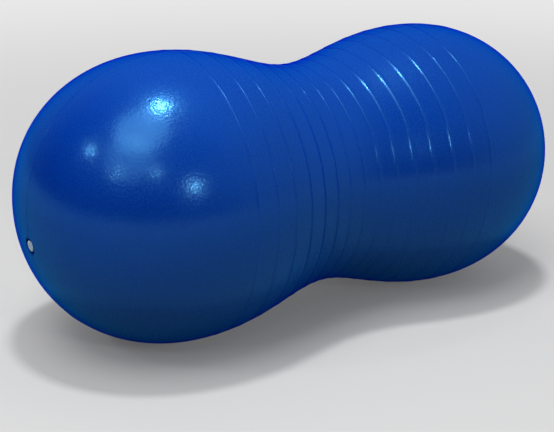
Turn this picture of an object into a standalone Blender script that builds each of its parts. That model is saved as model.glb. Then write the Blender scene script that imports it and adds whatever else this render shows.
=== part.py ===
"""Peanut ball: a hollow vinyl skin with two lobes and a ribbed waist, a valve sleeve and its plug.

Metres, +Z up. +X runs from the valve end to the far end, and the origin lies on the floor under
the middle of the waist. Each lobe is pressed flat over a small patch where the ball stands.
"""

import math

import bmesh
import bpy
import numpy as np
from mathutils import Vector
from mathutils.geometry import interpolate_bezier

# Whole ball, inflated and lying on a floor
LENGTH = 0.900
LOBE_DIAMETER = 0.420
WAIST_DIAMETER = 0.338
LOBE_SPACING = 0.456  # between the widest sections of the two lobes
WALL = 0.0012
FLOOR_PATCH_RADIUS = 0.025

# Bezier handle lengths that shape one half of the outline
POLE_HANDLE = 0.126
CAP_HANDLE = 0.129
SHOULDER_HANDLE = 0.100
WAIST_HANDLE = 0.075

# Anti-slip ribs: one round the waist and the same number on each side of it
RIBS_EACH_SIDE = 7
RIB_WIDTH = 0.0020
RIB_HEIGHT = 0.0005
RIB_PITCH = 0.0267
RIB_PITCH_GROWTH = 0.0006  # times a rib's number from the waist, added to the pitch up to it

# Valve seat, moulded apart from the skin and welded into it
VALVE_BELOW_POLE = 0.034
RECESS_RADIUS = 0.0105
RECESS_DEPTH = 0.0032
RIM_WIDTH = 0.0020
RIM_DEPTH = 0.0002  # of the rim's top below the skin's outer face
CUP_FLOOR = 0.0018
FLOOR_DISH = 0.0003  # of the recess floor, inside the flat ring that the plug's head leaves free
FLANGE_RADIUS = 0.0200
FLANGE_THICKNESS = 0.0012
SLEEVE_WALL = 0.0028
SLEEVE_LENGTH = 0.0280
BORE_RADIUS = 0.0050
BORE_CHAMFER = 0.0008

# Push-in plug
PLUG_HEAD_RADIUS = 0.0080
PLUG_HEAD_CROWN = 0.0003
PLUG_LENGTH = 0.0245
PLUG_RING_COUNT = 4
PLUG_RING_PITCH = 0.0034
PLUG_GROOVE_DEPTH = 0.0006
PLUG_TIP_RADIUS = 0.0032
PLUG_TIP_LENGTH = 0.0035

# Fits and edges
GAP = 0.0003
WELD_GAP = 0.0005  # under the skin, where the flange follows a faceted curve
EDGE_RADIUS = 0.0005

# Mesh fineness
SKIN_SEGMENTS = 48
VALVE_SEGMENTS = 28
CAP_STEPS = 13
POLE_CROWDING = 1.25
OUTLINE_SAMPLES = 300
FILLET_STEPS = 2
MERGE_DISTANCE = 0.00001
NORMAL_STEP = 0.0005
CUTTER_REACH = 0.02

# Finishes
BLUE_VINYL = (0.004, 0.062, 0.402, 1.0)
PALE_VINYL = (0.610, 0.640, 0.680, 1.0)
SKIN_ROUGHNESS = 0.33
SLEEVE_ROUGHNESS = 0.5
PLUG_ROUGHNESS = 0.4


def clear_scene():
    for obj in list(bpy.data.objects):
        bpy.data.objects.remove(obj, do_unlink=True)


def new_collection(name):
    collection = bpy.data.collections.new(name)
    bpy.context.scene.collection.children.link(collection)
    return collection


def new_material(name, colour, roughness):
    material = bpy.data.materials.new(name)
    material.use_nodes = True
    shader = material.node_tree.nodes["Principled BSDF"]
    shader.inputs["Base Color"].default_value = colour
    shader.inputs["Roughness"].default_value = roughness
    shader.inputs["Metallic"].default_value = 0.0
    return material


def half_outline():
    """Points (x, r) of the outer face from the waist to the pole, and their distances along it."""
    waist = Vector((0, WAIST_DIAMETER / 2))
    widest = Vector((LOBE_SPACING / 2, LOBE_DIAMETER / 2))
    pole = Vector((LENGTH / 2, 0))
    shoulder = interpolate_bezier(
        waist,
        waist + Vector((WAIST_HANDLE, 0)),
        widest - Vector((SHOULDER_HANDLE, 0)),
        widest,
        OUTLINE_SAMPLES,
    )
    cap = interpolate_bezier(
        widest,
        widest + Vector((CAP_HANDLE, 0)),
        pole + Vector((0, POLE_HANDLE)),
        pole,
        OUTLINE_SAMPLES,
    )
    points = np.array([tuple(p) for p in shoulder + cap[1:]])
    steps = np.hypot(*np.diff(points, axis=0).T)
    return points, np.concatenate([[0.0], np.cumsum(steps)])


HALF_OUTLINE, HALF_DISTANCES = half_outline()
HALF_ARC = float(HALF_DISTANCES[-1])


def outline_point(distance):
    """Point (x, r) at this distance along the outer face from the waist, negative towards the valve.

    Past a pole the outline goes on as its own mirror image, so that its slope there is exact.
    """
    along = abs(distance)
    folded = min(along, 2 * HALF_ARC - along)
    x, r = (float(np.interp(folded, HALF_DISTANCES, column)) for column in HALF_OUTLINE.T)
    return Vector((math.copysign(x, distance), r if along <= HALF_ARC else -r))


def outline_normal(distance):
    ahead = outline_point(distance + NORMAL_STEP)
    tangent = (ahead - outline_point(distance - NORMAL_STEP)).normalized()
    return Vector((-tangent.y, tangent.x))


def raised_point(distance, height):
    return outline_point(distance) + outline_normal(distance) * height


def rib_distance(index):
    """Distance of a rib from the waist, for an index counted outwards from the rib on the waist."""
    return index * (RIB_PITCH + RIB_PITCH_GROWTH * abs(index))


def cap_distances():
    """Distances from a lobe's widest section, or the last rib past it, to its pole, where they crowd."""
    widest = float(np.interp(LOBE_SPACING / 2, HALF_OUTLINE[:, 0], HALF_DISTANCES))
    start = max(widest, rib_distance(RIBS_EACH_SIDE) + RIB_WIDTH)
    left = [1 - step / CAP_STEPS for step in range(CAP_STEPS + 1)]
    return [HALF_ARC - (HALF_ARC - start) * share**POLE_CROWDING for share in left]


def skin_outline():
    """Outer outline with its ribs, from the far pole to the valve's pole."""
    cap = cap_distances()
    points = [raised_point(-distance, 0) for distance in reversed(cap)]
    for index in range(-RIBS_EACH_SIDE, RIBS_EACH_SIDE + 1):
        crest = rib_distance(index)
        points.append(raised_point(crest - RIB_WIDTH / 2, 0))
        points.append(raised_point(crest, RIB_HEIGHT))
        points.append(raised_point(crest + RIB_WIDTH / 2, 0))
    points += [raised_point(distance, 0) for distance in cap]
    return [(point.y, point.x) for point in reversed(points)]


def cavity_outline():
    """The air space's outline: the outer one without ribs, moved in by the wall."""
    cap = cap_distances()
    ribs = [rib_distance(index) for index in range(-RIBS_EACH_SIDE, RIBS_EACH_SIDE + 1)]
    distances = [-distance for distance in reversed(cap)] + ribs + cap
    points = [raised_point(distance, -WALL) for distance in distances]
    return [(point.y, point.x) for point in reversed(points)]


def rounded(corners, closed=False):
    """Outline points (r, z) from corners (r, z, fillet radius), each fillet an arc."""
    count = len(corners)
    points = []
    for index, (r, z, fillet) in enumerate(corners):
        corner = Vector((r, z))
        at_end = index in (0, count - 1) and not closed
        if fillet == 0 or at_end:
            points.append((r, z))
            continue
        before = (Vector(corners[index - 1][:2]) - corner).normalized()
        after = (Vector(corners[(index + 1) % count][:2]) - corner).normalized()
        half_angle = before.angle(after) / 2
        centre = corner + (before + after).normalized() * fillet / math.sin(half_angle)
        start = corner + before * fillet / math.tan(half_angle) - centre
        end = corner + after * fillet / math.tan(half_angle) - centre
        for step in range(FILLET_STEPS + 1):
            spoke = start.lerp(end, step / FILLET_STEPS).normalized() * fillet
            points.append(tuple(centre + spoke))
    return points


def turned(name, outline, segments, closed=False):
    """An object turned about its own Z from points (r, z) that run down its outer side."""
    count = len(outline)
    edges = [(index, index + 1) for index in range(count - 1)]
    if closed:
        edges.append((count - 1, 0))
    mesh = bpy.data.meshes.new(name)
    mesh.from_pydata([(r, 0, z) for r, z in outline], edges, [])
    obj = bpy.data.objects.new(name, mesh)
    turn = obj.modifiers.new("Turn", "SCREW")
    turn.axis = "Z"
    turn.steps = turn.render_steps = segments
    turn.use_merge_vertices = True
    turn.merge_threshold = MERGE_DISTANCE
    turn.use_smooth_shade = True
    return obj


def cylinder(name, radius, depth):
    shape = bmesh.new()
    bmesh.ops.create_cone(
        shape,
        cap_ends=True,
        segments=VALVE_SEGMENTS,
        radius1=radius,
        radius2=radius,
        depth=depth,
    )
    return object_from(shape, name)


def box(name, size):
    shape = bmesh.new()
    bmesh.ops.create_cube(shape, size=1)
    bmesh.ops.scale(shape, vec=size, verts=shape.verts)
    return object_from(shape, name)


def object_from(shape, name):
    mesh = bpy.data.meshes.new(name)
    shape.to_mesh(mesh)
    shape.free()
    return bpy.data.objects.new(name, mesh)


def as_cutter(obj, collection):
    collection.objects.link(obj)
    obj.hide_render = True
    obj.display_type = "WIRE"
    return obj


def cut(obj, cutter):
    modifier = obj.modifiers.new(f"Cut {cutter.name}", "BOOLEAN")
    modifier.operation = "DIFFERENCE"
    modifier.solver = "EXACT"
    modifier.object = cutter


def lay_along_x(obj, height):
    """Turns a piece's own Z to the world's +X, at the height of the ball's axis."""
    obj.rotation_euler = (0, math.pi / 2, 0)
    obj.location = (0, 0, height)


def axis_height():
    """Height of the ball's axis once the floor has flattened each lobe."""
    return math.sqrt((LOBE_DIAMETER / 2) ** 2 - FLOOR_PATCH_RADIUS**2)


def floor_cutter(name, top):
    """A slab that takes off everything below this height."""
    slab = box(name, (LENGTH, LOBE_DIAMETER, CUTTER_REACH))
    slab.location = (0, 0, top - CUTTER_REACH / 2)
    return slab


def rim_radius():
    return RECESS_RADIUS + RIM_WIDTH


def make_skin(parts, cutters, material, valve_axis):
    """The skin: the ribbed body less its air space, the floor's flats and the hole for the valve."""
    skin = turned("ball_skin", skin_outline(), SKIN_SEGMENTS)
    parts.objects.link(skin)
    skin.data.materials.append(material)
    lay_along_x(skin, axis_height())

    cavity = as_cutter(turned("air_space", cavity_outline(), SKIN_SEGMENTS), cutters)
    lay_along_x(cavity, axis_height())
    cut(cavity, as_cutter(floor_cutter("inner_floor", WALL), cutters))

    hole = as_cutter(cylinder("valve_hole", rim_radius() + GAP, 2 * CUTTER_REACH), cutters)
    hole.parent = valve_axis

    cut(skin, as_cutter(floor_cutter("floor", 0), cutters))
    cut(skin, cavity)
    cut(skin, hole)
    return skin


def valve_distance():
    """Distance along the outline of the point that lies VALVE_BELOW_POLE from the ball's axis."""
    near_pole = HALF_OUTLINE[:, 0] > LOBE_SPACING / 2
    radii = HALF_OUTLINE[near_pole, 1][::-1]
    return -float(np.interp(VALVE_BELOW_POLE, radii, HALF_DISTANCES[near_pole][::-1]))


def make_valve_axis(parts):
    """An empty on the skin's outer face at the valve, its Z pointing out along the valve."""
    point, normal = outline_point(valve_distance()), outline_normal(valve_distance())
    empty = bpy.data.objects.new("valve_axis", None)
    parts.objects.link(empty)
    empty.location = (point.x, 0, axis_height() - point.y)
    empty.rotation_mode = "QUATERNION"
    empty.rotation_quaternion = Vector((normal.x, 0, -normal.y)).to_track_quat("Z", "Y")
    empty.empty_display_size = SLEEVE_LENGTH
    return empty


def make_sleeve(parts, material, valve_axis):
    """The seat: a cup flush with the skin, a flange welded under it and a tube that grips the plug."""
    end_radius = VALVE_BELOW_POLE / outline_normal(valve_distance()).y

    def flange_top(r):
        return -(WALL + WELD_GAP + r**2 / (2 * end_radius))

    rim = rim_radius()
    tube = BORE_RADIUS + SLEEVE_WALL
    cup_bottom = -(RECESS_DEPTH + CUP_FLOOR)
    dish_bottom = -(RECESS_DEPTH + FLOOR_DISH)
    flange_edge = flange_top(FLANGE_RADIUS)
    corners = [
        (rim, -RIM_DEPTH, EDGE_RADIUS),
        (rim, flange_top(rim), 0),
        (FLANGE_RADIUS, flange_edge, 0),
        (FLANGE_RADIUS, flange_edge - FLANGE_THICKNESS, 0),
        (rim, flange_top(rim) - FLANGE_THICKNESS, EDGE_RADIUS),
        (rim, cup_bottom, 2 * EDGE_RADIUS),
        (tube, cup_bottom, EDGE_RADIUS),
        (tube, -SLEEVE_LENGTH, EDGE_RADIUS),
        (BORE_RADIUS, -SLEEVE_LENGTH, EDGE_RADIUS),
        (BORE_RADIUS, dish_bottom - BORE_CHAMFER, 0),
        (BORE_RADIUS + BORE_CHAMFER, dish_bottom, 0),
        (PLUG_HEAD_RADIUS + GAP, -RECESS_DEPTH, 0),
        (RECESS_RADIUS, -RECESS_DEPTH, EDGE_RADIUS),
        (RECESS_RADIUS, -RIM_DEPTH, EDGE_RADIUS),
    ]
    sleeve = turned("valve_sleeve", rounded(corners, closed=True), VALVE_SEGMENTS, closed=True)
    parts.objects.link(sleeve)
    sleeve.data.materials.append(material)
    sleeve.parent = valve_axis
    return sleeve


def make_plug(parts, material, valve_axis):
    """The plug: a flat head in the recess over a stem with gripping rings and a tapered tip."""
    head_top = -RIM_DEPTH
    head_under = -(RECESS_DEPTH - GAP)
    stem = BORE_RADIUS - GAP
    tip = head_under - PLUG_LENGTH
    rings_end = tip + PLUG_TIP_LENGTH
    corners = [
        (0, head_top, 0),
        (PLUG_HEAD_RADIUS, head_top - PLUG_HEAD_CROWN, EDGE_RADIUS),
        (PLUG_HEAD_RADIUS, head_under, EDGE_RADIUS),
        (stem, head_under, 0),
    ]
    for index in range(PLUG_RING_COUNT, 0, -1):
        groove = rings_end + (index - 0.5) * PLUG_RING_PITCH
        corners.append((stem, groove + PLUG_GROOVE_DEPTH, 0))
        corners.append((stem - PLUG_GROOVE_DEPTH, groove, 0))
        corners.append((stem, groove - PLUG_GROOVE_DEPTH, 0))
    corners += [
        (stem, rings_end, 0),
        (PLUG_TIP_RADIUS, tip, EDGE_RADIUS),
        (0, tip, 0),
    ]
    plug = turned("valve_plug", rounded(corners), VALVE_SEGMENTS)
    parts.objects.link(plug)
    plug.data.materials.append(material)
    plug.parent = valve_axis
    return plug


def main():
    clear_scene()
    parts = new_collection("peanut_ball")
    cutters = new_collection("peanut_ball_cutters")
    vinyl = new_material("blue_vinyl", BLUE_VINYL, SKIN_ROUGHNESS)
    soft_vinyl = new_material("soft_blue_vinyl", BLUE_VINYL, SLEEVE_ROUGHNESS)
    pale = new_material("pale_plug", PALE_VINYL, PLUG_ROUGHNESS)

    valve_axis = make_valve_axis(parts)
    make_skin(parts, cutters, vinyl, valve_axis)
    make_sleeve(parts, soft_vinyl, valve_axis)
    make_plug(parts, pale, valve_axis)


main()
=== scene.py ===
import math

import bmesh
import bpy
import numpy as np
from mathutils import Matrix, Vector
from mathutils.geometry import interpolate_bezier


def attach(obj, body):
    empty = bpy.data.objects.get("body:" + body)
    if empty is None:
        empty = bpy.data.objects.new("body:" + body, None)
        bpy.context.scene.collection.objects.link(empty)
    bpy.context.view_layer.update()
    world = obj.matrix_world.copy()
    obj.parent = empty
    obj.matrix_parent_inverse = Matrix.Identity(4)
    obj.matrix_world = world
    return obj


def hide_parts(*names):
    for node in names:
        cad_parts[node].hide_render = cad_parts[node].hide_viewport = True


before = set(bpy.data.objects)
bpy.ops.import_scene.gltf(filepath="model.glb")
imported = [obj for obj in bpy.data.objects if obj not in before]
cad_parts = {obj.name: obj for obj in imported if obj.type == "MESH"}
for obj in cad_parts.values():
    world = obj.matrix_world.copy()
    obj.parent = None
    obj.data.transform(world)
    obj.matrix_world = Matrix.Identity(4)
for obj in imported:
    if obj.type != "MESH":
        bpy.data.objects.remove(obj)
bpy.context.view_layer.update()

# Ball, as in the model's source
LENGTH = 0.900
LOBE_DIAMETER = 0.420
WAIST_DIAMETER = 0.338
LOBE_SPACING = 0.456
WALL = 0.0012
FLOOR_PATCH_RADIUS = 0.025
POLE_HANDLE = 0.126
CAP_HANDLE = 0.129
SHOULDER_HANDLE = 0.100
WAIST_HANDLE = 0.075

# Ribs round the waist
RIBS_EACH_SIDE = 7
RIB_WIDTH = 0.0012
RIB_HEIGHT = 0.0003
RIB_PITCH = 0.0267
RIB_PITCH_GROWTH = 0.0006

# Mould's parting line, over the top and the bottom of the ball
SEAM_WIDTH = 0.0016
SEAM_HEIGHT = 0.00035

# Power of the rounded profile of ribs and parting line, and soft edge of the patches on the floor
CREST_POWER = 1.5
FLOOR_SOFTNESS = 0.0012

# Valve
VALVE_BELOW_POLE = 0.034
RECESS_RADIUS = 0.0105
RECESS_DEPTH = 0.0032
RIM_WIDTH = 0.0020
RIM_DEPTH = 0.0002
CUP_FLOOR = 0.0018
FLOOR_DISH = 0.0003
SLEEVE_WALL = 0.0028
SLEEVE_LENGTH = 0.0280
BORE_RADIUS = 0.0050
BORE_CHAMFER = 0.0008
PLUG_HEAD_RADIUS = 0.0080
PLUG_LENGTH = 0.0245
PLUG_RING_COUNT = 4
PLUG_RING_PITCH = 0.0034
PLUG_GROOVE_DEPTH = 0.0006
PLUG_TIP_RADIUS = 0.0032
PLUG_TIP_LENGTH = 0.0035
PLUG_GROOVE_FILLET = 0.0002
HEAD_FLAT_RADIUS = 0.0050
HEAD_FLAT_FILLET = 0.0020
HEAD_CROWN = 0.0003
HEAD_EDGE_FILLET = 0.0008
DIMPLE_DEPTH = 0.0006
DIMPLE_RADIUS = 0.0010
DIMPLE_FILLET = 0.0002
DIMPLE_RIM_DEPTH = 0.0001
DIMPLE_RIM_RADIUS = 0.0014
DIMPLE_RIM_FILLET = 0.0004
GAP = 0.0003
EDGE_RADIUS = 0.0005

# Meshes: fineness, and values that only their making needs
SKIN_SEGMENTS = 288
VALVE_SEGMENTS = 96
OUTLINE_SAMPLES = 1200
STEP_ALONG = 0.005
RIB_STATIONS = 9
SEAM_SHARES = (-1.0, -0.66, -0.33, 0.0, 0.33, 0.66, 1.0)  # of its half width
SEAM_TURN_LIMIT = 0.8  # of the turn between two columns
INNER_STRIDE = 4  # stations of the outer face for one of the inner face
CUTTER_DEPTH = 0.04
FILLET_STEPS = 5
NORMAL_STEP = 0.0004
MERGE_DISTANCE = 0.00001
TINY = 1e-6
SKIN_SHARP_DEGREES = 50
VALVE_SHARP_DEGREES = 40

# Vinyl: noises as scale and detail, the fine one's share of the relief, and the range of noise in use
CLOUD_NOISE = (7.0, 3.0)
COARSE_NOISE = (310.0, 1.0)
FINE_NOISE = (900.0, 2.0)
FINE_SHARE = 0.15
NOISE_RANGE = (0.3, 0.7)
VINYL_IOR = 1.4
# Colours of the vinyl's gloss, and of the clear blue surface layer that keeps its rims blue
SHEEN_TINT = (0.42, 0.77, 1.0, 1.0)
SURFACE_TINT = (0.38, 0.77, 1.0, 1.0)

# Studio: lamps by direction from the valve's lobe, width, height and power
LAMP_AIM_X = -0.2
LAMP_DISTANCE = 5.0
LAMPS = (
    ("ceiling_lamp", (0.015, -0.018, 1.000), 0.60, 0.60, 124),
    ("high_softbox", (-0.330, -0.200, 0.922), 3.2, 3.2, 112),
    ("left_softbox", (-0.600, -0.360, 0.715), 3.2, 3.2, 48),
    ("left_lamp", (-0.766, 0.139, 0.627), 0.20, 0.20, 17),
    ("left_front_lamp", (-0.770, -0.336, 0.542), 0.15, 0.15, 9),
    ("front_lamp", (-0.418, -0.690, 0.590), 0.20, 0.20, 9),
    ("low_front_lamp", (-0.037, -0.919, 0.393), 0.35, 0.35, 26),
)
# Soft light of the room: its bright side, cosines from it at which it starts and is full, strength
BRIGHT_SIDE = (0.910, 0.420, 0.000)
BRIGHT_START = -0.45
BRIGHT_FULL = 0.45
BRIGHT_STRENGTH = 0.6
# Floor: its colour as seen and as it lights the ball, and its own painted glow, kept low near the ball
# as painted shade and higher far off
FLOOR_RADIUS = 30
FLOOR_SEGMENTS = 96
FLOOR_DROP = 0.0005
FLOOR_COLOUR = (0.46, 0.46, 0.46, 1)
FLOOR_BOUNCE = (0.07, 0.075, 0.085, 1)
PAINTED_FLOOR_GLOW_NEAR = 0.1
PAINTED_FLOOR_GLOW_FAR = 0.5
PAINTED_SHADE_RADIUS = 0.7
PAINTED_GLOW_FULL_RADIUS = 4.0

# Camera, fitted to the photograph's outline and rib lines
CAMERA_PLACE = (-1.0960, -1.4941, 0.7318)
CAMERA_YAW = 35.446
CAMERA_PITCH = 18.605
CAMERA_ROLL = 0.63
CAMERA_LENS = 80.74
CAMERA_SHIFT = (-0.0037, 0.0334)
CAMERA_CLIP = (0.05, 200)


def half_outline():
    """Points (x, r) of the outer face from the waist to the pole, and their distances along it."""
    waist = Vector((0, WAIST_DIAMETER / 2))
    widest = Vector((LOBE_SPACING / 2, LOBE_DIAMETER / 2))
    pole = Vector((LENGTH / 2, 0))
    shoulder = interpolate_bezier(
        waist,
        waist + Vector((WAIST_HANDLE, 0)),
        widest - Vector((SHOULDER_HANDLE, 0)),
        widest,
        OUTLINE_SAMPLES,
    )
    cap = interpolate_bezier(
        widest,
        widest + Vector((CAP_HANDLE, 0)),
        pole + Vector((0, POLE_HANDLE)),
        pole,
        OUTLINE_SAMPLES,
    )
    points = np.array([tuple(p) for p in shoulder + cap[1:]])
    steps = np.hypot(*np.diff(points, axis=0).T)
    return points, np.concatenate([[0.0], np.cumsum(steps)])


HALF_OUTLINE, HALF_DISTANCES = half_outline()
HALF_ARC = float(HALF_DISTANCES[-1])


def outline_point(distance):
    along = abs(distance)
    folded = min(along, 2 * HALF_ARC - along)
    x, r = (float(np.interp(folded, HALF_DISTANCES, column)) for column in HALF_OUTLINE.T)
    return Vector((math.copysign(x, distance), r if along <= HALF_ARC else -r))


def outline_normal(distance):
    ahead = outline_point(distance + NORMAL_STEP)
    tangent = (ahead - outline_point(distance - NORMAL_STEP)).normalized()
    return Vector((-tangent.y, tangent.x))


def rib_distance(index):
    return index * (RIB_PITCH + RIB_PITCH_GROWTH * abs(index))


def rib_height(distance):
    """Height of the ribs' rounded profile at a distance along the outline."""
    height = 0.0
    for index in range(-RIBS_EACH_SIDE, RIBS_EACH_SIDE + 1):
        share = abs(distance - rib_distance(index)) / (RIB_WIDTH / 2)
        if share < 1:
            height = RIB_HEIGHT * (1 - share**2) ** CREST_POWER
    return height


AXIS_HEIGHT = math.sqrt((LOBE_DIAMETER / 2) ** 2 - FLOOR_PATCH_RADIUS**2)


def outer_stations():
    """Distances along the outline: even steps, and closer ones over each rib."""
    stations = []
    rib_offsets = np.linspace(-RIB_WIDTH / 2, RIB_WIDTH / 2, RIB_STATIONS)
    ribs = [rib_distance(index) for index in range(-RIBS_EACH_SIDE, RIBS_EACH_SIDE + 1)]
    for rib, following in zip(ribs, ribs[1:] + [None]):
        stations += [rib + float(offset) for offset in rib_offsets]
        if following is not None:
            start, end = rib + RIB_WIDTH / 2, following - RIB_WIDTH / 2
            count = math.ceil((end - start) / STEP_ALONG)
            stations += [start + (end - start) * k / count for k in range(1, count)]
    end = stations[-1]
    count = math.ceil((HALF_ARC - end) / STEP_ALONG)
    cap = [end + (HALF_ARC - end) * k / count for k in range(1, count + 1)]
    return [-distance for distance in reversed(cap)] + stations + cap


def seam_columns():
    """Columns of the ball's mesh: (clock angle, distance from the seam, seam height) triples."""
    columns = []
    for step in range(SKIN_SEGMENTS):
        angle = 2 * math.pi * step / SKIN_SEGMENTS
        if step % (SKIN_SEGMENTS // 2) == SKIN_SEGMENTS // 4:
            for share in SEAM_SHARES:
                height = SEAM_HEIGHT * (1 - share**2) ** CREST_POWER
                columns.append((angle, share * SEAM_WIDTH / 2, height))
        else:
            columns.append((angle, 0.0, 0.0))
    return columns


def shell_rows(distances, inset, ribbed, columns):
    """Rows of points of one face of the skin, from the valve's pole to the far pole."""
    widest_turn = 2 * math.pi / SKIN_SEGMENTS * SEAM_TURN_LIMIT
    rows = []
    for distance in distances:
        height = rib_height(distance) if ribbed else 0.0
        base, normal = outline_point(distance), outline_normal(distance)
        if abs(abs(distance) - HALF_ARC) < TINY:
            point = base - normal * inset
            rows.append([(point.x, 0.0, AXIS_HEIGHT)])
            continue
        row = []
        for angle, aside, seam in columns:
            raised = height + (seam if ribbed else 0.0) - inset
            point = base + normal * raised
            turn = max(-widest_turn, min(widest_turn, aside / max(base.y, TINY)))
            clock = angle + turn
            z = AXIS_HEIGHT + point.y * math.sin(clock)
            row.append((point.x, -point.y * math.cos(clock), soft_floor(z, inset)))
        rows.append(row)
    return rows


def soft_floor(z, inset):
    """Presses a point that would be under the floor up to it, with a soft edge."""
    share = max(0.0, min(1.0, 0.5 + (z - inset) / (2 * FLOOR_SOFTNESS)))
    return inset + (z - inset) * share + FLOOR_SOFTNESS * share * (1 - share)


def add_shell(shape, rows, flip):
    """Adds one closed face of the skin to a bmesh from its rows of points."""
    rings = [[shape.verts.new(point) for point in row] for row in rows]
    for here, after in zip(rings, rings[1:]):
        count = max(len(here), len(after))
        for k in range(count):
            n = (k + 1) % count
            if len(here) == 1:
                corners = [here[0], after[k], after[n]]
            elif len(after) == 1:
                corners = [here[n], here[k], after[0]]
            else:
                corners = [here[n], here[k], after[k], after[n]]
            shape.faces.new(reversed(corners) if flip else corners)


def object_from(shape, name):
    mesh = bpy.data.meshes.new(name)
    shape.to_mesh(mesh)
    shape.free()
    obj = bpy.data.objects.new(name, mesh)
    bpy.context.scene.collection.objects.link(obj)
    return obj


def apply_modifiers(obj):
    graph = bpy.context.evaluated_depsgraph_get()
    mesh = bpy.data.meshes.new_from_object(obj.evaluated_get(graph))
    obj.modifiers.clear()
    obj.data = mesh


def shade(obj, sharp_degrees):
    obj.data.shade_smooth()
    obj.data.set_sharp_from_angle(angle=math.radians(sharp_degrees))


def valve_matrix():
    """Place of the valve: origin on the skin's outer face, Z pointing out."""
    near_pole = HALF_OUTLINE[:, 0] > LOBE_SPACING / 2
    radii = HALF_OUTLINE[near_pole, 1][::-1]
    distance = -float(np.interp(VALVE_BELOW_POLE, radii, HALF_DISTANCES[near_pole][::-1]))
    point, normal = outline_point(distance), outline_normal(distance)
    turn = Vector((normal.x, 0, -normal.y)).to_track_quat("Z", "Y").to_matrix().to_4x4()
    return Matrix.Translation((point.x, 0, AXIS_HEIGHT - point.y)) @ turn


def rounded(corners, closed=False):
    """Outline points (r, z) from corners (r, z, fillet radius), each fillet an arc."""
    count = len(corners)
    points = []
    for index, (r, z, fillet) in enumerate(corners):
        corner = Vector((r, z))
        at_end = index in (0, count - 1) and not closed
        if fillet == 0 or at_end:
            points.append((r, z))
            continue
        before = (Vector(corners[index - 1][:2]) - corner).normalized()
        after = (Vector(corners[(index + 1) % count][:2]) - corner).normalized()
        half_angle = before.angle(after) / 2
        centre = corner + (before + after).normalized() * fillet / math.sin(half_angle)
        start = corner + before * fillet / math.tan(half_angle) - centre
        end = corner + after * fillet / math.tan(half_angle) - centre
        for step in range(FILLET_STEPS + 1):
            spoke = start.lerp(end, step / FILLET_STEPS).normalized() * fillet
            points.append(tuple(centre + spoke))
    return points


def turned(name, outline, place, closed=False):
    """A turned piece about the valve's axis, from points (r, z) that run down its outer side."""
    count = len(outline)
    edges = [(index, index + 1) for index in range(count - 1)]
    if closed:
        edges.append((count - 1, 0))
    mesh = bpy.data.meshes.new(name)
    mesh.from_pydata([(r, 0, z) for r, z in outline], edges, [])
    obj = bpy.data.objects.new(name, mesh)
    bpy.context.scene.collection.objects.link(obj)
    turn = obj.modifiers.new("Turn", "SCREW")
    turn.axis = "Z"
    turn.steps = turn.render_steps = VALVE_SEGMENTS
    turn.use_merge_vertices = True
    turn.merge_threshold = MERGE_DISTANCE
    apply_modifiers(obj)
    obj.data.transform(place)
    shade(obj, VALVE_SHARP_DEGREES)
    return obj


def make_skin(place):
    columns = seam_columns()
    outer = outer_stations()
    inner = outer[::INNER_STRIDE]
    if inner[-1] != outer[-1]:
        inner.append(outer[-1])
    shape = bmesh.new()
    add_shell(shape, shell_rows(outer, 0.0, True, columns), False)
    add_shell(shape, shell_rows(inner, WALL, False, columns), True)
    skin = object_from(shape, "skin_surface")

    hole_radius = RECESS_RADIUS + RIM_WIDTH + GAP
    drill = bmesh.new()
    bmesh.ops.create_cone(
        drill,
        cap_ends=True,
        segments=VALVE_SEGMENTS,
        radius1=hole_radius,
        radius2=hole_radius,
        depth=CUTTER_DEPTH,
    )
    cutter = object_from(drill, "valve_hole")
    cutter.data.transform(place)
    hole = skin.modifiers.new("Valve hole", "BOOLEAN")
    hole.object = cutter
    apply_modifiers(skin)
    bpy.data.objects.remove(cutter)
    shade(skin, SKIN_SHARP_DEGREES)
    return skin


def make_seat(place):
    rim = RECESS_RADIUS + RIM_WIDTH
    tube = BORE_RADIUS + SLEEVE_WALL
    cup_bottom = -(RECESS_DEPTH + CUP_FLOOR)
    dish_bottom = -(RECESS_DEPTH + FLOOR_DISH)
    corners = [
        (rim, -RIM_DEPTH, EDGE_RADIUS),
        (rim, cup_bottom, 2 * EDGE_RADIUS),
        (tube, cup_bottom, EDGE_RADIUS),
        (tube, -SLEEVE_LENGTH, EDGE_RADIUS),
        (BORE_RADIUS, -SLEEVE_LENGTH, EDGE_RADIUS),
        (BORE_RADIUS, dish_bottom - BORE_CHAMFER, 0),
        (BORE_RADIUS + BORE_CHAMFER, dish_bottom, 0),
        (PLUG_HEAD_RADIUS + GAP, -RECESS_DEPTH, 0),
        (RECESS_RADIUS, -RECESS_DEPTH, EDGE_RADIUS),
        (RECESS_RADIUS, -RIM_DEPTH, EDGE_RADIUS),
    ]
    return turned("valve_seat", rounded(corners, closed=True), place, closed=True)


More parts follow.
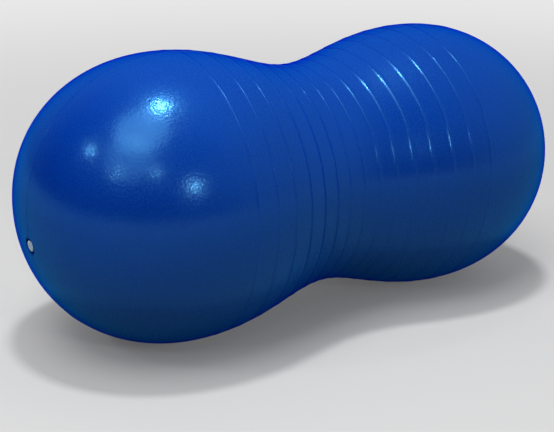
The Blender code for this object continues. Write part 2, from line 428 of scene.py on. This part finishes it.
def make_plug(place):
    head_top = -RIM_DEPTH
    head_under = -(RECESS_DEPTH - GAP)
    stem = BORE_RADIUS - GAP
    tip = head_under - PLUG_LENGTH
    rings_end = tip + PLUG_TIP_LENGTH
    corners = [
        (0, head_top - DIMPLE_DEPTH, 0),
        (DIMPLE_RADIUS, head_top - DIMPLE_DEPTH, DIMPLE_FILLET),
        (DIMPLE_RIM_RADIUS, head_top - DIMPLE_RIM_DEPTH, DIMPLE_RIM_FILLET),
        (HEAD_FLAT_RADIUS, head_top, HEAD_FLAT_FILLET),
        (PLUG_HEAD_RADIUS, head_top - HEAD_CROWN, HEAD_EDGE_FILLET),
        (PLUG_HEAD_RADIUS, head_under, EDGE_RADIUS),
        (stem, head_under, 0),
    ]
    for index in range(PLUG_RING_COUNT, 0, -1):
        groove = rings_end + (index - 0.5) * PLUG_RING_PITCH
        corners.append((stem, groove + PLUG_GROOVE_DEPTH, PLUG_GROOVE_FILLET))
        corners.append((stem - PLUG_GROOVE_DEPTH, groove, PLUG_GROOVE_FILLET))
        corners.append((stem, groove - PLUG_GROOVE_DEPTH, PLUG_GROOVE_FILLET))
    corners += [
        (stem, rings_end, 0),
        (PLUG_TIP_RADIUS, tip, EDGE_RADIUS),
        (0, tip, 0),
    ]
    return turned("plug_body", rounded(corners), place)


class Nodes:
    """Short names for adding and joining the nodes of one material."""

    def __init__(self, material):
        material.use_nodes = True
        self.tree = material.node_tree
        self.shader = self.tree.nodes.get("Principled BSDF")

    def add(self, kind, **values):
        node = self.tree.nodes.new(kind)
        for name, value in values.items():
            if name in node.inputs:
                node.inputs[name].default_value = value
            else:
                setattr(node, name, value)
        return node

    def join(self, output, target):
        self.tree.links.new(output, target)


def noise(nodes, where, scale, detail):
    node = nodes.add("ShaderNodeTexNoise")
    node.inputs["Scale"].default_value = scale
    node.inputs["Detail"].default_value = detail
    nodes.join(where, node.inputs["Vector"])
    return node.outputs["Fac"]


def spread(nodes, value, low, high):
    node = nodes.add("ShaderNodeMapRange")
    node.inputs["From Min"].default_value = NOISE_RANGE[0]
    node.inputs["From Max"].default_value = NOISE_RANGE[1]
    node.inputs["To Min"].default_value = low
    node.inputs["To Max"].default_value = high
    nodes.join(value, node.inputs["Value"])
    return node.outputs["Result"]


def soft_step(nodes, value, start, end, low, high):
    """Goes softly from low to high as the value goes from start to end."""
    node = nodes.add("ShaderNodeMapRange", interpolation_type="SMOOTHSTEP")
    node.inputs["From Min"].default_value = start
    node.inputs["From Max"].default_value = end
    node.inputs["To Min"].default_value = low
    node.inputs["To Max"].default_value = high
    nodes.join(value, node.inputs["Value"])
    return node.outputs["Result"]


def moulded_vinyl(name, dark, light, roughness, grain_height, specular, coat):
    """Vinyl with a leathery grain, cloudy colour and a gloss that differs from grain to grain."""
    material = bpy.data.materials.new(name)
    nodes = Nodes(material)
    shader = nodes.shader
    where = nodes.add("ShaderNodeTexCoord").outputs["Object"]

    cloud = noise(nodes, where, *CLOUD_NOISE)
    # A colour mix takes its two colours on sockets 6 and 7 and gives the mixed one on socket 2
    tint = nodes.add("ShaderNodeMix", data_type="RGBA")
    tint.inputs[6].default_value = dark
    tint.inputs[7].default_value = light
    nodes.join(spread(nodes, cloud, 0.0, 1.0), tint.inputs[0])
    nodes.join(tint.outputs[2], shader.inputs["Base Color"])

    coarse = noise(nodes, where, *COARSE_NOISE)
    fine = noise(nodes, where, *FINE_NOISE)
    nodes.join(spread(nodes, fine, roughness[0], roughness[1]), shader.inputs["Roughness"])
    relief = nodes.add("ShaderNodeMath", operation="MULTIPLY_ADD")
    nodes.join(fine, relief.inputs[0])
    relief.inputs[1].default_value = FINE_SHARE
    nodes.join(coarse, relief.inputs[2])
    bump = nodes.add("ShaderNodeBump")
    bump.inputs["Strength"].default_value = 1.0
    bump.inputs["Distance"].default_value = grain_height
    nodes.join(relief.outputs[0], bump.inputs["Height"])
    nodes.join(bump.outputs["Normal"], shader.inputs["Normal"])
    nodes.join(bump.outputs["Normal"], shader.inputs["Coat Normal"])

    shader.inputs["IOR"].default_value = VINYL_IOR
    shader.inputs["Specular IOR Level"].default_value = specular
    shader.inputs["Specular Tint"].default_value = SHEEN_TINT
    shader.inputs["Coat Weight"].default_value = coat
    shader.inputs["Coat IOR"].default_value = 1.0
    shader.inputs["Coat Tint"].default_value = SURFACE_TINT
    return material


def dress(obj, material, body):
    obj.data.materials.clear()
    obj.data.materials.append(material)
    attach(obj, body)


def seen_in_picture(nodes):
    """1 for rays that show the floor to the camera, straight, mirrored or through glass, else 0."""
    path = nodes.add("ShaderNodeLightPath")
    seen = path.outputs["Is Camera Ray"]
    for kind in ("Is Glossy Ray", "Is Transmission Ray"):
        either = nodes.add("ShaderNodeMath", operation="MAXIMUM")
        nodes.join(seen, either.inputs[0])
        nodes.join(path.outputs[kind], either.inputs[1])
        seen = either.outputs[0]
    return seen


def floor_material():
    material = bpy.data.materials.new("pale_floor")
    nodes = Nodes(material)
    nodes.tree.nodes.remove(nodes.shader)
    seen = seen_in_picture(nodes)
    bounced = nodes.add("ShaderNodeBsdfDiffuse", Color=FLOOR_BOUNCE)
    shown = nodes.add("ShaderNodeBsdfDiffuse", Color=FLOOR_COLOUR)
    where = nodes.add("ShaderNodeTexCoord").outputs["Object"]
    away = nodes.add("ShaderNodeVectorMath", operation="LENGTH")
    nodes.join(where, away.inputs[0])
    # Painted light: the floor glows by itself, held low near the ball as painted shade around it and
    # brighter far off
    level = soft_step(
        nodes,
        away.outputs["Value"],
        PAINTED_SHADE_RADIUS,
        PAINTED_GLOW_FULL_RADIUS,
        PAINTED_FLOOR_GLOW_NEAR,
        PAINTED_FLOOR_GLOW_FAR,
    )
    painted_glow = nodes.add("ShaderNodeEmission")
    nodes.join(level, painted_glow.inputs["Strength"])
    lit_and_painted_glow = nodes.add("ShaderNodeAddShader")
    nodes.join(shown.outputs[0], lit_and_painted_glow.inputs[0])
    nodes.join(painted_glow.outputs[0], lit_and_painted_glow.inputs[1])
    choice = nodes.add("ShaderNodeMixShader")
    nodes.join(seen, choice.inputs[0])
    nodes.join(bounced.outputs[0], choice.inputs[1])
    nodes.join(lit_and_painted_glow.outputs[0], choice.inputs[2])
    nodes.join(choice.outputs[0], nodes.tree.nodes["Material Output"].inputs["Surface"])
    return material


def make_floor():
    """Pale floor that throws little light up, so the ball's underside stays deep."""
    shape = bmesh.new()
    bmesh.ops.create_circle(shape, cap_ends=True, segments=FLOOR_SEGMENTS, radius=FLOOR_RADIUS)
    floor = object_from(shape, "floor")
    floor.location.z = -FLOOR_DROP
    floor.data.materials.append(floor_material())


def make_world():
    """Room that is brighter towards one side and falls off softly from it."""
    world = bpy.data.worlds.new("studio")
    bpy.context.scene.world = world
    nodes = Nodes(world)
    background = nodes.tree.nodes["Background"]
    background.inputs["Color"].default_value = (1, 1, 1, 1)
    where = nodes.add("ShaderNodeTexCoord").outputs["Generated"]
    side = nodes.add("ShaderNodeVectorMath", operation="DOT_PRODUCT")
    nodes.join(where, side.inputs[0])
    side.inputs[1].default_value = BRIGHT_SIDE
    level = soft_step(nodes, side.outputs["Value"], BRIGHT_START, BRIGHT_FULL, 0.0, BRIGHT_STRENGTH)
    nodes.join(level, background.inputs["Strength"])


def make_lamp(name, towards, width, height, power):
    """A softbox that shines on the ball from a direction; one as high as it is wide is round."""
    light = bpy.data.lights.new(name, "AREA")
    light.shape = "DISK" if width == height else "RECTANGLE"
    light.size, light.size_y = width, height
    light.energy = power
    obj = bpy.data.objects.new(name, light)
    direction = Vector(towards).normalized()
    obj.location = Vector((LAMP_AIM_X, 0, AXIS_HEIGHT)) + direction * LAMP_DISTANCE
    obj.rotation_mode = "QUATERNION"
    obj.rotation_quaternion = direction.to_track_quat("Z", "Y")
    bpy.context.scene.collection.objects.link(obj)


def make_camera():
    data = bpy.data.cameras.new("camera")
    camera = bpy.data.objects.new("camera", data)
    bpy.context.scene.collection.objects.link(camera)
    data.lens = CAMERA_LENS
    data.shift_x, data.shift_y = CAMERA_SHIFT
    data.clip_start, data.clip_end = CAMERA_CLIP
    turn = (
        Matrix.Rotation(math.radians(-CAMERA_YAW), 4, "Z")
        @ Matrix.Rotation(math.radians(90 - CAMERA_PITCH), 4, "X")
        @ Matrix.Rotation(math.radians(CAMERA_ROLL), 4, "Z")
    )
    camera.matrix_world = Matrix.Translation(CAMERA_PLACE) @ turn
    bpy.context.scene.camera = camera


def main():
    make_camera()
    make_world()
    for values in LAMPS:
        make_lamp(*values)
    make_floor()

    place = valve_matrix()
    skin = make_skin(place)
    seat = make_seat(place)
    plug = make_plug(place)

    vinyl = moulded_vinyl(
        "blue_vinyl",
        dark=(0.0012, 0.045, 0.295, 1),
        light=(0.0020, 0.054, 0.330, 1),
        roughness=(0.04, 0.43),
        grain_height=0.00020,
        specular=1.15,
        coat=1.0,
    )
    seat_vinyl = moulded_vinyl(
        "seat_vinyl",
        dark=(0.0010, 0.062, 0.300, 1),
        light=(0.0016, 0.076, 0.350, 1),
        roughness=(0.4, 0.6),
        grain_height=0.00004,
        specular=0.12,
        coat=1.0,
    )
    pale = moulded_vinyl(
        "plug_plastic",
        dark=(0.56, 0.73, 0.90, 1),
        light=(0.68, 0.83, 0.96, 1),
        roughness=(0.3, 0.5),
        grain_height=0.00003,
        specular=0.5,
        coat=0.0,
    )
    dress(skin, vinyl, "ball")
    dress(seat, seat_vinyl, "ball")
    dress(plug, pale, "plug")
    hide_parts("ball_skin")
    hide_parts("valve_sleeve")
    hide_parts("valve_plug")

    bpy.context.scene.view_settings.view_transform = "Standard"
    bpy.context.view_layer.update()


main()
